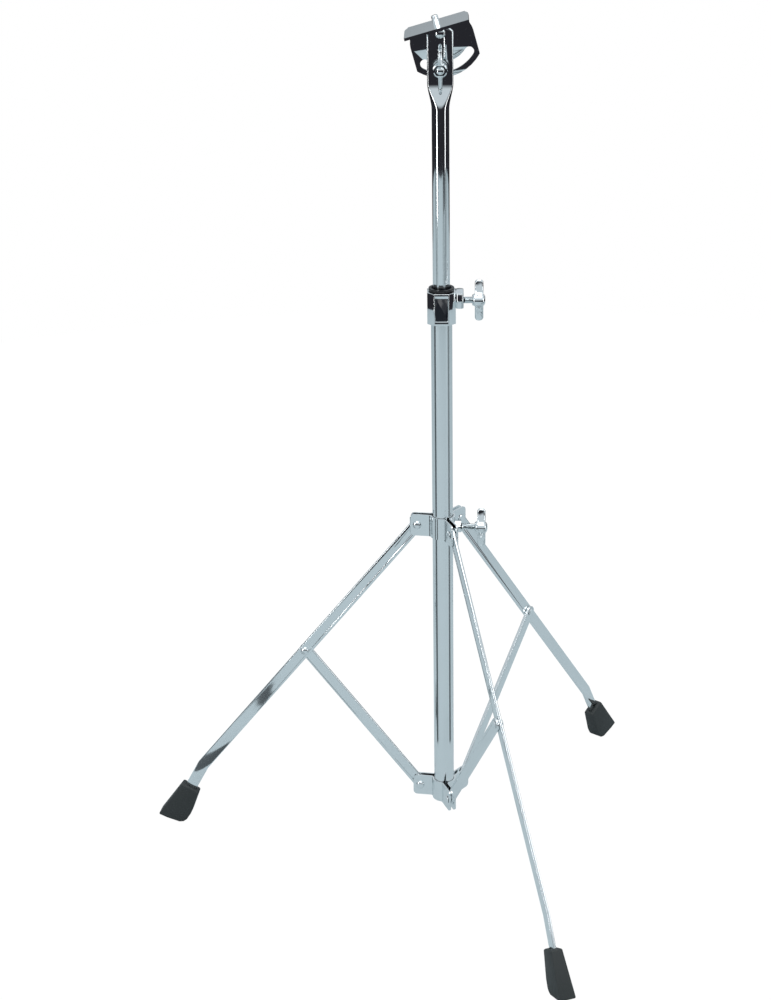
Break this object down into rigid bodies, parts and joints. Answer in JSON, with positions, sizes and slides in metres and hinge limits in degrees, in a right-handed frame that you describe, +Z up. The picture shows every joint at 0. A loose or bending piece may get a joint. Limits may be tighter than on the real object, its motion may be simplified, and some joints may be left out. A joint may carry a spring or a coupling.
{
  "type": "practice pad stand",
  "caption": "Folding tripod stand with a telescoping tube and a tilting bracket whose stud holds a drum practice pad.",
  "frame": {"origin": "centre of the stand's box, on the floor under the feet", "axes": "+Z up along the tubes; the tilt bolt's wing nut faces -Y"},
  "size_m": [0.4992, 0.5306, 0.8526],
  "materials": {
    "chrome": "polished",
    "rubber": "matt",
    "plastic": "satin",
    "enamel": "gloss"
  },
  "bodies": {
    "column": {"lower_tube": "chrome", "tube_end_plug": "plastic", "hub_shell_1": "chrome", "hub_shell_2": "chrome", "hub_shell_3": "chrome", "hub_rivet_1": "chrome", "hub_rivet_2": "chrome", "hub_rivet_3": "chrome", "clamp_collar": "chrome", "clamp_bush": "plastic", "badge_plate": "enamel"},
    "guide": {"guide_plug": "plastic"},
    "mast": {"upper_tube": "chrome", "tilt_pivot": "chrome", "tilt_bolt": "chrome", "slot_washer": "chrome", "nut_washer": "chrome"},
    "clamp_screw": {"clamp_screw": "chrome"},
    "wing_nut": {"tilt_wing_nut": "chrome"},
    "bracket": {"pad_bracket": "chrome", "pad_stud": "chrome"},
    "collar": {"collar_shell_1": "chrome", "collar_shell_2": "chrome", "collar_shell_3": "chrome", "collar_rivet_1": "chrome", "collar_rivet_2": "chrome", "collar_rivet_3": "chrome", "collar_nut": "chrome"},
    "collar_screw": {"collar_screw": "chrome"},
    "leg_1": {"leg_1": "chrome", "foot_1": "rubber"},
    "strut_1": {"strut_1": "chrome", "leg_rivet_1": "chrome"},
    "leg_2": {"leg_2": "chrome", "foot_2": "rubber"},
    "strut_2": {"strut_2": "chrome", "leg_rivet_2": "chrome"},
    "leg_3": {"leg_3": "chrome", "foot_3": "rubber"},
    "strut_3": {"strut_3": "chrome", "leg_rivet_3": "chrome"}
  },
  "joints": [
    {"name": "height", "type": "slide", "parent": "column", "child": "guide", "axis": [0, 0, 1], "range_m": [-0.165, 0.2]},
    {"name": "swivel", "type": "hinge", "parent": "guide", "child": "mast", "pos_m": [0.05365, 0.02163, 0.5], "axis": [0, 0, 1], "continuous": true},
    {"name": "clamp_screw_turn", "type": "hinge", "parent": "column", "child": "clamp_screw", "pos_m": [0.08235, 0.02163, 0.58609], "axis": [1, 0, 0], "continuous": true},
    {"name": "wing_nut_turn", "type": "hinge", "parent": "mast", "child": "wing_nut", "pos_m": [0.05365, 0.01823, 0.80179], "axis": [0, -1, 0], "continuous": true},
    {"name": "tilt", "type": "hinge", "parent": "mast", "child": "bracket", "pos_m": [0.05365, 0.02163, 0.83279], "axis": [0, 1, 0], "range_deg": [-25, 56]},
    {"name": "fold", "type": "hinge", "parent": "column", "child": "strut_1", "pos_m": [0.06282, -0.00163, 0.06349], "axis": [0.9304, 0.3665, 0], "range_deg": [-34, 20]},
    {"name": "leg_1_swing", "type": "hinge", "parent": "strut_1", "child": "leg_1", "pos_m": [0.1058, -0.11076, 0.21041], "axis": [0.9304, 0.3665, 0], "range_deg": [-40, 68]},
    {"name": "collar_level", "type": "hinge", "parent": "leg_1", "child": "collar", "pos_m": [0.06282, -0.00163, 0.35734], "axis": [0.9304, 0.3665, 0], "range_deg": [-34, 20]},
    {"name": "collar_screw_turn", "type": "hinge", "parent": "collar", "child": "collar_screw", "pos_m": [0.08491, 0.01696, 0.35734], "axis": [0.989, -0.1478, 0], "continuous": true},
    {"name": "leg_2_swing", "type": "hinge", "parent": "collar", "child": "leg_2", "pos_m": [0.06922, 0.0412, 0.35734], "axis": [-0.7826, 0.6225, 0], "range_deg": [-20, 34]},
    {"name": "strut_2_swing", "type": "hinge", "parent": "column", "child": "strut_2", "pos_m": [0.06922, 0.0412, 0.06349], "axis": [-0.7826, 0.6225, 0], "range_deg": [-34, 20]},
    {"name": "leg_3_swing", "type": "hinge", "parent": "collar", "child": "leg_3", "pos_m": [0.02893, 0.02533, 0.35734], "axis": [-0.1478, -0.989, 0], "range_deg": [-20, 34]},
    {"name": "strut_3_swing", "type": "hinge", "parent": "column", "child": "strut_3", "pos_m": [0.02893, 0.02533, 0.06349], "axis": [-0.1478, -0.989, 0], "range_deg": [-34, 20]}
  ],
  "couplings": [
    {"joint": "leg_1_swing", "follows": "fold", "ratio": -2},
    {"joint": "collar_level", "follows": "fold", "ratio": 1},
    {"joint": "leg_2_swing", "follows": "fold", "ratio": -1},
    {"joint": "strut_2_swing", "follows": "fold", "ratio": 1},
    {"joint": "leg_3_swing", "follows": "fold", "ratio": -1},
    {"joint": "strut_3_swing", "follows": "fold", "ratio": 1}
  ]
}
